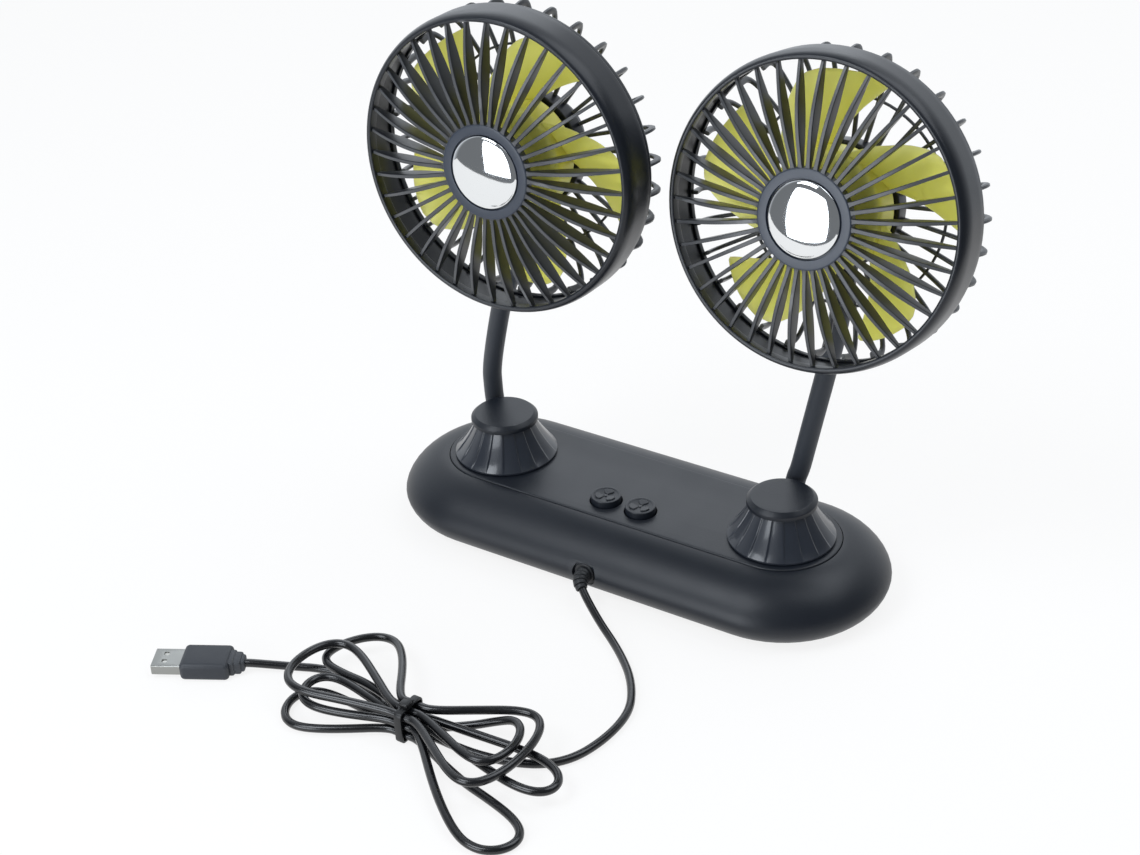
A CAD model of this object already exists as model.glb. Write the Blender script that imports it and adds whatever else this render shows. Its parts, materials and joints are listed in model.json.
"""Dresses the solids of a twin-head car fan with its moulded, sleeved, plated and wired pieces."""
import json
import math

import bmesh
import bpy
import numpy
from bpy.props import FloatProperty, FloatVectorProperty, IntProperty, PointerProperty
from bpy.types import Operator, Panel, PropertyGroup
from mathutils import Matrix, Vector

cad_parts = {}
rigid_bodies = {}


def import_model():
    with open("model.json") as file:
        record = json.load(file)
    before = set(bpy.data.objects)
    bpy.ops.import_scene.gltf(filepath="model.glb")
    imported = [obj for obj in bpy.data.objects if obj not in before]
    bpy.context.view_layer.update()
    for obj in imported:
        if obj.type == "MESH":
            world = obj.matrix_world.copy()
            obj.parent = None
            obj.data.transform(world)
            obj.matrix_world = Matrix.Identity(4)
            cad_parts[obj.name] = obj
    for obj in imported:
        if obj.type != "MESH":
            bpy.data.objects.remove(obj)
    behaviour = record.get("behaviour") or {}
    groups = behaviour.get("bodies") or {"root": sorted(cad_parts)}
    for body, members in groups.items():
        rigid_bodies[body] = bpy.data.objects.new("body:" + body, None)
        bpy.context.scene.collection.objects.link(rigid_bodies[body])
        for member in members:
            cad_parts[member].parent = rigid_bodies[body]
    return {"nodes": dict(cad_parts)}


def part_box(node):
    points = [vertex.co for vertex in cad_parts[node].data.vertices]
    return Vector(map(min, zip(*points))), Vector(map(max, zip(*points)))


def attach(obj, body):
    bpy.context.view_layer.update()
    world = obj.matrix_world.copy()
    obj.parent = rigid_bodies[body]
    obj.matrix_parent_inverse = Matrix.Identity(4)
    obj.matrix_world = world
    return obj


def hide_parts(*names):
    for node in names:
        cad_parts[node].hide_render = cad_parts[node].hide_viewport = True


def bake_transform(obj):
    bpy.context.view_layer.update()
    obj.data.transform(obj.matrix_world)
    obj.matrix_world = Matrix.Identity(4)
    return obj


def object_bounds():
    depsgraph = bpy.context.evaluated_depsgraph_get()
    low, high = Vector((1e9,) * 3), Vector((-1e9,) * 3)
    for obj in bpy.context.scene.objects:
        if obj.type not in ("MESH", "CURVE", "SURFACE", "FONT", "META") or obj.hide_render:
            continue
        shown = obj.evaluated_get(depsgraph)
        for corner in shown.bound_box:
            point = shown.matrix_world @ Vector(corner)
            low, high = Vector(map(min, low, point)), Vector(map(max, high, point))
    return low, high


bl_info = {
    "name": "Twin-head car fan",
    "version": (1, 0, 0),
    "blender": (4, 5, 0),
    "location": "3D View > Sidebar > Car fan",
    "description": "Builds the look of a two-headed car fan on its packed solids",
    "category": "Object",
}

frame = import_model()
CAD_BOX = [list(corner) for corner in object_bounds()]
SIDES = ("left", "right")
# Gap between pieces that seat in each other, and the distance within which points are one
SEAT_GAP = 0.0003
MERGE = 1e-6
# Cord: its gap to the floor, and the gap between its bundle and the tie
FLOOR_GAP = 0.00015
TIE_GAP = 0.00045
# Head: x, y and z of the ring's front, turn about the upright and tilt back, and its rotor's turn, in degrees
HEAD_PLACES = {"left": (-0.0422, -0.0363, 0.1868, 1.9, 3.5), "right": (0.0859, -0.0116, 0.1843, 0.4, 11.2)}
ROTOR_STARTS = {"left": 3, "right": 29}
# Blade: shares of its reach, and the turns of its leading and trailing edges there, in pitches of the blades
BLADE_SHARES = (0, .2, .45, .7, .88, .96, 1)
BLADE_LEAD = (-.04, -.145, -.25, -.345, -.40, -.415, -.405)
BLADE_TRAIL = (.66, .49, .33, .215, .125, .06, -.03)
# Neck: its socket's lean and turn about the turret, in degrees, and its two bends from the turret's axis
SOCKET_LEAN = 38
SOCKET_TURNS = {"left": 137, "right": 102}
LOWER_BENDS = {"left": (-0.0135, 0.0110, 0.0640), "right": (0.0008, 0.0196, 0.0620)}
UPPER_BENDS = {"left": (0.0040, 0.0030, 0.1180), "right": (0.0123, 0.0210, 0.1160)}
# Hank: each lobe's turn, reach, width and layer, then each strand's column and layer inside the tie
LOBES = ((191, .054, .022, 0), (-27, .080, .022, 0), (183, .049, .018, 1), (-4, .072, .017, 1),
         (152, .059, .030, 1), (-1, .054, .045, 2), (172, .059, .032, 2), (2, .048, .027, 2))
SLOTS = ((0, 0), (-1, 0), (-1, 1), (0, 1), (1, 1), (1, 2), (-1, 2), (0, 2), (1, 0))
# Cord: where it starts in the strain relief, the relief's tip, and the routes to the hank and to the plug
CORD_START = Vector((0.0000, -0.0480, 0.0114))
RELIEF_TIP = Vector((0.0033, -0.0529, 0.0095))
LEAD_ROUTE = (
    (0.0008, -0.0502, 0.0110), RELIEF_TIP, (0.0096, -0.0571, 0.0065), (0.0194, -0.0635, 0.0035),
    (0.0285, -0.0693, 0.0022), (0.0372, -0.0762, 0.0019), (0.0457, -0.0843, 0.0019),
    (0.0525, -0.0933, 0.0019), (0.0576, -0.1030, 0.0019), (0.0594, -0.1140, 0.0019),
    (0.0585, -0.1270, 0.0019), (0.0550, -0.1395, 0.0019), (0.0475, -0.1485, 0.0019),
    (0.0360, -0.1540, 0.0019), (0.0220, -0.1570, 0.0021), (0.0110, -0.1580, 0.0029))
TAIL_ROUTE = (
    (-0.0290, -0.1500, 0.0019), (-0.0400, -0.1445, 0.0019), (-0.0520, -0.1422, 0.0019),
    (-0.0650, -0.1440, 0.0019), (-0.0760, -0.1495, 0.0024))
TIE_CENTRE = Vector((-0.010, -0.158, 0))
PLUG_PLACE = Matrix.Translation((-0.0930, -0.1590, 0.0040)) @ Matrix.Rotation(math.radians(208.3), 4, "Z")
# Camera: where it stands, the direction back to it and its upward direction
CAMERA_PLACE = Vector((0.41890, -0.66871, 0.53757))
CAMERA_BACK = Vector((0.48086, -0.70848, 0.51657))
CAMERA_UP = Vector((-0.25235, 0.45239, 0.85537))
# Studio: its slightly blue daylight, how far the paper glows, and the middle and half size of the table that
# the lamps light and the domes mirror
COOL = (0.89, 0.94, 1.0)
PAPER_GLOW = 0.84
TABLE_X = (-0.15, 0.60)
TABLE_Y = (0.04, 0.56)
# Lamps: each one's place, width and height. All of them point at the stage's middle
LAMPS = {"key": ((-0.35, -0.80, 1.10), 0.60, 0.60), "back": ((-0.70, 1.00, 0.85), 1.00, 0.60),
         "top": ((0.45, 0.30, 1.15), 0.90, 0.90), "window": ((-0.36, -1.40, 0.21), 0.75, 0.92)}
STAGE_MIDDLE = Vector((0.02, -0.03, 0.10))


# Sizes and colours that a user would change

def length(label, default, text):
    return FloatProperty(name=label, description=text, default=default, min=0.0, unit="LENGTH", precision=5)


def linear(code):
    """Linear red, green and blue of an sRGB hex colour."""
    shares = [int(code[index:index + 2], 16) / 255 for index in (0, 2, 4)]
    return [share / 12.92 if share <= 0.04045 else ((share + 0.055) / 1.055) ** 2.4 for share in shares]


def colour(label, code, text):
    return FloatVectorProperty(name=label, description=text, default=linear(code), subtype="COLOR",
                               min=0.0, max=1.0, size=3)


class FanBase(PropertyGroup):
    spacing: length("Turret spacing", 0.140, "Between the two turret axes")
    half_width: length("Half width", 0.0467, "Half the housing's width at its widest")
    height: length("Height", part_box("base_shell")[1].z, "Top of the housing")
    widest_height: length("Widest height", 0.011, "Height of the widest line")
    foot_half_width: length("Foot half width", 0.0372, "Half the width where the housing ends below")
    foot_wall: length("Foot wall", 0.0007, "Wall of the foot round the bottom plate")
    plate_recess: length("Plate recess", 0.0043, "Height of the recess for the bottom plate")
    foot_lift: length("Foot lift", 0.0009, "Gap between the housing and the table")
    wall: length("Wall", 0.0022, "Moulded wall")
    deck_half_width: length("Deck half width", 0.0256, "Half the width of the inset deck")
    deck_top: length("Deck top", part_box("deck_plate")[1].z, "Upper face of the deck")
    deck_thickness: length("Deck thickness", 0.003, "Thickness of the deck")
    ledge: length("Ledge", 0.004, "Width of the ledge that the deck lies on")
    inlet_height: length("Inlet height", 0.0118, "Height of the cord's inlet")
    inlet_recess: length("Inlet recess radius", 0.0057, "Round recess at the inlet")
    inlet_depth: length("Inlet recess depth", 0.0019, "Depth of that recess")
    inlet_hole: length("Inlet hole radius", 0.0036, "Hole that the cord goes through")
    button_along: length("Button along", 0.0087, "Button's place along the deck")
    button_across: length("Button across", 0.0133, "Button's place across the deck")
    button_radius: length("Button radius", 0.0066, "Radius of a button")
    button_gap: length("Button gap", 0.00042, "Gap round a button in the deck")
    button_rise: length("Button rise", 0.0028, "Button's rise above the deck")
    button_dish: length("Button dish", 0.0006, "Depth of a button's dished top")
    mark_relief: length("Mark relief", 0.00038, "How far the fan mark stands out of a button")


class FanTurret(PropertyGroup):
    foot_radius: length("Foot radius", 0.02295, "Skirt's radius at its foot")
    top_radius: length("Top radius", 0.0134, "Skirt's radius at its top")
    height: length("Height", 0.0162, "Skirt's height above the deck")
    foot_band: length("Foot band", 0.0009, "Upright band at the skirt's foot")
    waist_pull: length("Waist pull", 0.0007, "How far the skirt's side is pulled in")
    stem_radius: length("Stem radius", 0.0080, "Radius of the skirt's stem in the deck")
    stem_reach: length("Stem reach", 0.0068, "Reach of that stem below the skirt")
    stem_hole: length("Stem hole radius", 0.0083, "Radius of the deck's hole for the stem")
    petals: IntProperty(name="Petals", description="Petals round a skirt", default=18, min=3)
    petal_step: length("Petal step", 0.00055, "Step from one petal to the next")
    cap_radius: length("Cap radius", 0.0150, "Radius of the flat cap")
    cap_flat: length("Cap flat radius", 0.0132, "Radius of the cap's flat top")
    cap_thickness: length("Cap thickness", 0.0035, "Thickness of the cap")
    cap_drop: length("Cap chamfer", 0.0016, "Height of the cap's sloped rim")
    socket_radius: length("Socket radius", 0.0054, "Radius of the collar that holds the neck")
    socket_length: length("Socket length", 0.011, "Length of that collar, most of it inside the skirt")
    socket_out: length("Socket reach", 0.0052, "How far the collar's mouth lies outside the skirt's top")
    socket_drop: length("Socket drop", 0.0040, "How far it lies below the skirt's top")
    neck_radius: length("Neck radius", 0.0043, "Radius of the neck's sleeve")
    bend_run: length("Bend run", 0.013, "Length over which a neck bends, either side of its joint")


class FanHead(PropertyGroup):
    ring_radius: length("Ring radius", 0.0625, "Outer radius of the front ring")
    ring_wall: length("Ring wall", 0.0035, "Width of the ring's face")
    ring_depth: length("Ring depth", 0.0165, "Depth of the ring")
    ring_lip: length("Ring lip", 0.0047, "Depth of the ring's inner lip")
    ring_brow: length("Ring brow", 0.0070, "Depth over which the ring's outer edge is rounded")
    ring_skirt: length("Ring skirt", 0.0014, "Wall of the ring behind its lip")
    fins: IntProperty(name="Fins", description="Radial fins in front", default=39, min=3)
    fin_half: length("Fin half width", 0.0006, "Half a fin's thickness")
    fin_front: length("Fin front", 0.0045, "How far a fin's root stands in front of the ring")
    fin_drop: length("Fin drop", 0.0064, "How far a fin falls back from its root to the ring")
    fin_bow: length("Fin bow", 0.0032, "How far the middle of a fin bows forward")
    fin_depth: length("Fin depth", 0.0026, "Depth of a fin at its ends")
    fin_belly: length("Fin belly", 0.0046, "Extra depth of a fin in its middle")
    disc_radius: length("Hub disc radius", 0.0197, "Radius of the disc in the middle")
    disc_front: length("Hub disc front", 0.0054, "How far the disc stands in front of the ring")
    disc_thickness: length("Hub disc thickness", 0.0042, "Thickness of the disc")
    dome_radius: length("Dome radius", 0.0151, "Radius of the plated dome")
    dome_rise: length("Dome rise", 0.0022, "Crown of the dome above the disc")
    ribs: IntProperty(name="Ribs", description="Ribs of the rear cage", default=30, min=3)
    rib_half: length("Rib half width", 0.0008, "Half a rib's width")
    rib_thickness: length("Rib thickness", 0.0019, "Thickness of a rib")
    cage_depth: length("Cage depth", 0.0335, "Depth of the rear cage behind the ring's front")
    cage_hub: length("Cage hub radius", 0.025, "Radius of the cage's middle")
    cage_hub_depth: length("Cage hub depth", 0.0075, "Depth of the cage's middle")
    hoop_radius: length("Hoop radius", 0.042, "Radius of the thin hoop across the ribs")
    rotor_radius: length("Rotor radius", 0.0540, "Radius at the blade tips")
    rotor_hub: length("Rotor hub radius", 0.0238, "Radius of the rotor's hub")
    rotor_front: length("Rotor front", 0.0112, "How far the rotor's hub lies behind the ring's front")
    rotor_depth: length("Rotor depth", 0.0128, "Depth of the rotor's hub")
    blades: IntProperty(name="Blades", description="Blades on a rotor", default=5, min=2)
    blade_thickness: length("Blade thickness", 0.0015, "Thickness of a blade")
    blade_back: length("Blade back", 0.0120, "How far a blade's back edge lies behind the hub's front")
    blade_rise: length("Blade rise", 0.0104, "Rise of a blade from its back edge to its front edge")
    blade_camber: length("Blade camber", 0.0016, "How far the middle of a blade is arched")
    cover_radius: length("Motor cover radius", 0.0172, "Radius of the cover behind the cage")
    cover_depth: length("Motor cover depth", 0.0130, "Depth of that cover")
    boss_radius: length("Boss radius", 0.0061, "Radius of the boss that holds the neck")
    boss_reach: length("Boss reach", 0.022, "Reach of that boss below the head's axis")
    boss_setback: length("Boss setback", 0.0068, "How far the boss lies behind the cage")


class FanCord(PropertyGroup):
    diameter: length("Diameter", 0.0035, "Cord's diameter")
    pitch: length("Pitch", 0.0043, "Between strands that lie beside each other")
    tie_wall: length("Tie wall", 0.0009, "Thickness of the tie's strap")
    tie_width: length("Tie width", 0.0034, "Width of the tie's strap")
    neck_length: length("Plug neck length", 0.0058, "Length of the plug's stepped neck")
    body_length: length("Plug length", 0.0205, "Length of the plug's overmould")
    body_width: length("Plug width", 0.0155, "Width of the plug's overmould")
    body_height: length("Plug height", 0.0080, "Height of the plug's overmould")
    shell_length: length("Shell length", 0.0120, "Metal shell's length beyond the overmould")
    shell_seat: length("Shell seat", 0.0060, "Metal shell's length inside the overmould")
    shell_width: length("Shell width", 0.0120, "Metal shell's width")
    shell_height: length("Shell height", 0.0045, "Metal shell's height")


class FanColours(PropertyGroup):
    shell: colour("Housing", "131820", "Housing, deck, caps and buttons")
    grille: colour("Grille", "12161d", "Front and rear grilles")
    disc: colour("Hub disc", "262e3b", "Disc round the plated dome")
    skirt: colour("Skirt", "1a202a", "Glossy petal skirts")
    sleeve: colour("Sleeve", "1c222b", "Soft sleeves of the necks")
    rotor: colour("Rotor", "fff678", "Rotors")
    cord: colour("Cord", "0d0e11", "Cord and its tie")
    plug: colour("Plug", "1f242c", "Plug's overmould")


class FanStudio(PropertyGroup):
    lens: FloatProperty(name="Lens", description="Focal length", default=67.92, unit="CAMERA")
    key: FloatProperty(name="Key lamp", description="Power of the lamp in front", default=7.0, unit="POWER")
    back: FloatProperty(name="Back lamp", description="Power of the lamp behind", default=2.0, unit="POWER")
    top: FloatProperty(name="Top lamp", description="Power of the lamp above", default=6.0, unit="POWER")
    window: FloatProperty(name="Window lamp", description="Power of the tall lamp", default=11.0,
                          unit="POWER")
    sky: FloatProperty(name="Sky", description="Strength of the light from all round", default=0.45, min=0.0)


GROUPS = {"fan_base": FanBase, "fan_turret": FanTurret, "fan_head": FanHead, "fan_cord": FanCord,
          "fan_colours": FanColours, "fan_studio": FanStudio}


# Meshes

def eased(section, closed=False, steps=4):
    """Rounds the corners of a section, each (across, up) or (across, up, radius)."""
    out = []
    for index, (across, up, *radius) in enumerate(section):
        corner = Vector((across, up))
        if not radius or not (closed or 0 < index < len(section) - 1):
            out.append((across, up))
            continue
        before = Vector(section[index - 1][:2]) - corner
        after = Vector(section[(index + 1) % len(section)][:2]) - corner
        cut = radius[0] * math.tan((math.pi - before.angle(after)) / 2)
        before = before.normalized() * min(cut, before.length * 0.48)
        after = after.normalized() * min(cut, after.length * 0.48)
        for step in range(steps + 1):
            share = step / steps
            out.append(tuple(corner + before * (1 - share) ** 2 + after * share ** 2))
    return out


def skin(bm, rings, loop=False):
    """Joins rings of points in turn, each closed on itself, and closes the ends. One point is a pole."""
    made = [[bm.verts.new(point) for point in ring] for ring in rings]
    for first, second in list(zip(made, made[1:])) + ([(made[-1], made[0])] if loop else []):
        for index in range(max(len(first), len(second))):
            following = index + 1
            corners = (first[index % len(first)], first[following % len(first)],
                       second[following % len(second)], second[index % len(second)])
            corners = list(dict.fromkeys(corners))
            if len(corners) > 2:
                bm.faces.new(corners)
    for ring in () if loop else (made[0], made[-1]):
        if len(ring) > 2:
            bm.faces.new(ring)


def even_runs(section, loop, longest=0.003):
    """The section with its long straight runs divided, so that no face is a sliver."""
    out = []
    for index, (across, up) in enumerate(section):
        out.append((across, up))
        if loop or index + 1 < len(section):
            ahead = section[(index + 1) % len(section)]
            run = Vector((ahead[0] - across, ahead[1] - up))
            parts = math.ceil(run.length / longest)
            out += [(across + run.x * part / parts, up + run.y * part / parts) for part in range(1, parts)]
    return out


def turned(bm, section, steps, loop=False, place=Matrix.Identity(4)):
    """A section of (radius, height) turned round an axis."""
    rings = []
    for radius, height in even_runs(section, loop):
        count = steps if radius > MERGE else 1
        angles = [2 * math.pi * index / steps for index in range(count)]
        rings.append([place @ Vector((radius * math.cos(a), radius * math.sin(a), height)) for a in angles])
    skin(bm, rings, loop)


def long_ring(distance, height, spacing, steps=28, parts=16):
    """One line round a long housing with two round ends."""
    ring = []
    for centre, start in ((spacing / 2, -math.pi / 2), (-spacing / 2, math.pi / 2)):
        for index in range(steps + 1):
            angle = start + math.pi * index / steps
            ring.append(Vector((centre + distance * math.cos(angle), distance * math.sin(angle), height)))
        ring += [Vector((centre * (1 - 2 * part / parts), -distance * math.sin(start), height))
                 for part in range(1, parts)]
    return ring


def block(bm, size, centre, round_edge, place=Matrix.Identity(4), segments=3):
    """A block with every edge rounded."""
    part = bmesh.new()
    bmesh.ops.create_cube(part, size=1.0)
    bmesh.ops.scale(part, vec=size, verts=part.verts)
    bmesh.ops.bevel(part, geom=part.edges[:], offset=round_edge, segments=segments, profile=0.5,
                    affect="EDGES")
    bmesh.ops.translate(part, vec=centre, verts=part.verts)
    bmesh.ops.transform(part, matrix=place, verts=part.verts)
    mesh = bpy.data.meshes.new("block")
    part.to_mesh(mesh)
    part.free()
    bm.from_mesh(mesh)
    bpy.data.meshes.remove(mesh)


def plain_mesh(bm, name):
    """The finished mesh of a bmesh: merged, with its faces outward."""
    bmesh.ops.remove_doubles(bm, verts=bm.verts, dist=MERGE)
    bmesh.ops.recalc_face_normals(bm, faces=bm.faces)
    mesh = bpy.data.meshes.new(name)
    bm.to_mesh(mesh)
    bm.free()
    return mesh


def evaluated(thing):
    """The mesh that an object's modifiers make. The object is removed."""
    depsgraph = bpy.context.evaluated_depsgraph_get()
    mesh = bpy.data.meshes.new_from_object(thing.evaluated_get(depsgraph))
    source = thing.data
    bpy.data.objects.remove(thing)
    if not source.users:
        bpy.data.batch_remove([source])
    return mesh


def linked(name, data):
    """A new object in the scene."""
    thing = bpy.data.objects.new(name, data)
    bpy.context.scene.collection.objects.link(thing)
    return thing


def cut(mesh, tools, edge=0.0):
    """The mesh with a solid cut out of it, and the cut's edges eased."""
    piece, tool = linked("cut_piece", mesh), linked("cut_tool", plain_mesh(tools, "cut_tool"))
    difference = piece.modifiers.new("cut", "BOOLEAN")
    difference.object, difference.solver = tool, "EXACT"
    if edge:
        bevel = piece.modifiers.new("edge", "BEVEL")
        bevel.width, bevel.segments, bevel.angle_limit = edge, 2, math.radians(60)
    result = evaluated(piece)
    bpy.data.objects.remove(tool)
    return result


def grown(mesh, tree, **inputs):
    """The plain mesh that a tree of Geometry Nodes makes from a source mesh."""
    source = bpy.data.objects.new("source", mesh)
    modifier = source.modifiers.new("growth", "NODES")
    modifier.node_group = tree
    for socket in tree.interface.items_tree:
        if socket.in_out == "INPUT" and socket.name in inputs:
            modifier[socket.identifier] = inputs[socket.name]
    bpy.context.scene.collection.objects.link(source)
    return evaluated(source)


def make_piece(name, mesh, finish, body, slot, *nodes, sharp=38):
    """A piece in its finish that rides on a body and stands for CAD nodes."""
    if isinstance(mesh, bmesh.types.BMesh):
        mesh = plain_mesh(mesh, name)
    mesh.name = name
    mesh.materials.clear()
    mesh.materials.append(finish)
    mesh.polygons.foreach_set("use_smooth", [True] * len(mesh.polygons))
    mesh.set_sharp_from_angle(angle=math.radians(sharp))
    piece = linked(name, mesh)
    if nodes:
        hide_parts(*nodes)
    if isinstance(body, str):
        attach(piece, body)
    return piece


def dress(finish, *names):
    """Gives CAD nodes whose shape is right their finish."""
    for name in names:
        for slot in frame["nodes"][name].material_slots:
            slot.material = finish


# Trees of Geometry Nodes and materials

def add(tree, kind, inputs=None, **settings):
    """Adds a node with its settings, and its inputs as values or links."""
    made = tree.nodes.new(kind)
    for key, value in settings.items():
        setattr(made, key, value)
    for key, value in (inputs or {}).items():
        if isinstance(value, bpy.types.NodeSocket):
            tree.links.new(value, made.inputs[key])
        else:
            made.inputs[key].default_value = value
    return made


def new_tree(name, **inputs):
    """An empty tree from geometry to geometry with named inputs, and its input node's outputs."""
    tree = bpy.data.node_groups.get(name)
    if tree:
        return tree, None
    tree = bpy.data.node_groups.new(name, "GeometryNodeTree")
    for label, kind in {"Geometry": "Geometry", **inputs, "Material": "Material"}.items():
        tree.interface.new_socket(label, in_out="INPUT", socket_type=f"NodeSocket{kind}")
    tree.interface.new_socket("Geometry", in_out="OUTPUT", socket_type="NodeSocketGeometry")
    return tree, tree.nodes.new("NodeGroupInput").outputs


def close_tree(tree, given, geometry):
    """Ends a tree: real geometry in the given material."""
    real = add(tree, "GeometryNodeRealizeInstances", {"Geometry": geometry})
    dressed = add(tree, "GeometryNodeSetMaterial",
                  {"Geometry": real.outputs["Geometry"], "Material": given["Material"]})
    add(tree, "NodeGroupOutput", {0: dressed.outputs["Geometry"]})
    return tree


def copies_round_axis():
    """Sets copies of the source piece at even turns round Z."""
    tree, given = new_tree("Copies round an axis", Count="Int", Start="Float")
    if given is None:
        return tree
    points = add(tree, "GeometryNodePoints", {"Count": given["Count"]})
    pitch = add(tree, "ShaderNodeMath", {0: 2 * math.pi, 1: given["Count"]}, operation="DIVIDE")
    index = add(tree, "GeometryNodeInputIndex")
    turn = add(tree, "ShaderNodeMath", {0: index.outputs[0], 1: pitch.outputs[0], 2: given["Start"]},
               operation="MULTIPLY_ADD")
    rotation = add(tree, "ShaderNodeCombineXYZ", {"Z": turn.outputs[0]})
    copies = add(tree, "GeometryNodeInstanceOnPoints",
                 {"Points": points.outputs[0], "Instance": given["Geometry"],
                  "Rotation": rotation.outputs[0]})
    return close_tree(tree, given, copies.outputs[0])


def copies_at_points():
    """Sets a copy of a piece at each point of the source mesh."""
    tree, given = new_tree("Copies at points", Piece="Object")
    if given is None:
        return tree
    piece = add(tree, "GeometryNodeObjectInfo", {"Object": given["Piece"]})
    copies = add(tree, "GeometryNodeInstanceOnPoints",
                 {"Points": given["Geometry"], "Instance": piece.outputs["Geometry"]})
    return close_tree(tree, given, copies.outputs[0])


def sleeve_along_path():
    """Draws a round sleeve with closed ends along the source line."""
    tree, given = new_tree("Sleeve along a path", Radius="Float", Sides="Int")
    if given is None:
        return tree
    line = add(tree, "GeometryNodeMeshToCurve", {"Mesh": given["Geometry"]})
    ring = add(tree, "GeometryNodeCurvePrimitiveCircle",
               {"Resolution": given["Sides"], "Radius": given["Radius"]})
    sleeve = add(tree, "GeometryNodeCurveToMesh",
                 {"Curve": line.outputs[0], "Profile Curve": ring.outputs[0], "Fill Caps": True})
    return close_tree(tree, given, sleeve.outputs[0])


def coated(name, base, roughness, grain=(0.0008, 0.00003), drift=0.05, shade=0.12, wear=0.0, metal=0.0,
           **gloss):
    """A surface with grain, slow drift in gloss and shade, and edges rubbed lighter."""
    material = bpy.data.materials.get(name)
    if material:
        return material
    material = bpy.data.materials.new(name)
    material.use_nodes = True
    material.diffuse_color = (*base, 1)
    tree = material.node_tree
    tree.nodes.clear()
    place = add(tree, "ShaderNodeTexCoord").outputs["Object"]
    size, depth = grain
    fine = add(tree, "ShaderNodeTexNoise", {"Vector": place, "Scale": 1 / size, "Detail": 3.0})
    slow = add(tree, "ShaderNodeTexNoise", {"Vector": place, "Scale": 1 / 0.018, "Detail": 3.0})
    dull = add(tree, "ShaderNodeMapRange",
               {"Value": slow.outputs[0], "From Min": 0.3, "From Max": 0.7, "To Min": roughness - drift,
                "To Max": roughness + drift})
    low, high = ([channel * (1 + sign * shade) for channel in base] + [1] for sign in (-1, 1))
    tint = add(tree, "ShaderNodeMix", {0: slow.outputs[0], 6: low, 7: high}, data_type="RGBA")
    ridge = add(tree, "ShaderNodeMapRange",
                {"Value": add(tree, "ShaderNodeNewGeometry").outputs["Pointiness"], "From Min": 0.52,
                 "From Max": 0.62, "To Min": 0.0, "To Max": wear})
    bright = [channel * 0.5 + 0.30 for channel in base] + [1]
    rubbed = add(tree, "ShaderNodeMix", {0: ridge.outputs[0], 6: tint.outputs[2], 7: bright},
                 data_type="RGBA")
    bump = add(tree, "ShaderNodeBump", {"Height": fine.outputs[0], "Distance": depth, "Strength": 0.8})
    surface = add(tree, "ShaderNodeBsdfPrincipled",
                  {"Base Color": rubbed.outputs[2], "Roughness": dull.outputs[0], "Normal": bump.outputs[0],
                   "Metallic": metal, **gloss})
    add(tree, "ShaderNodeOutputMaterial", {"Surface": surface.outputs[0]})
    return material


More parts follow.
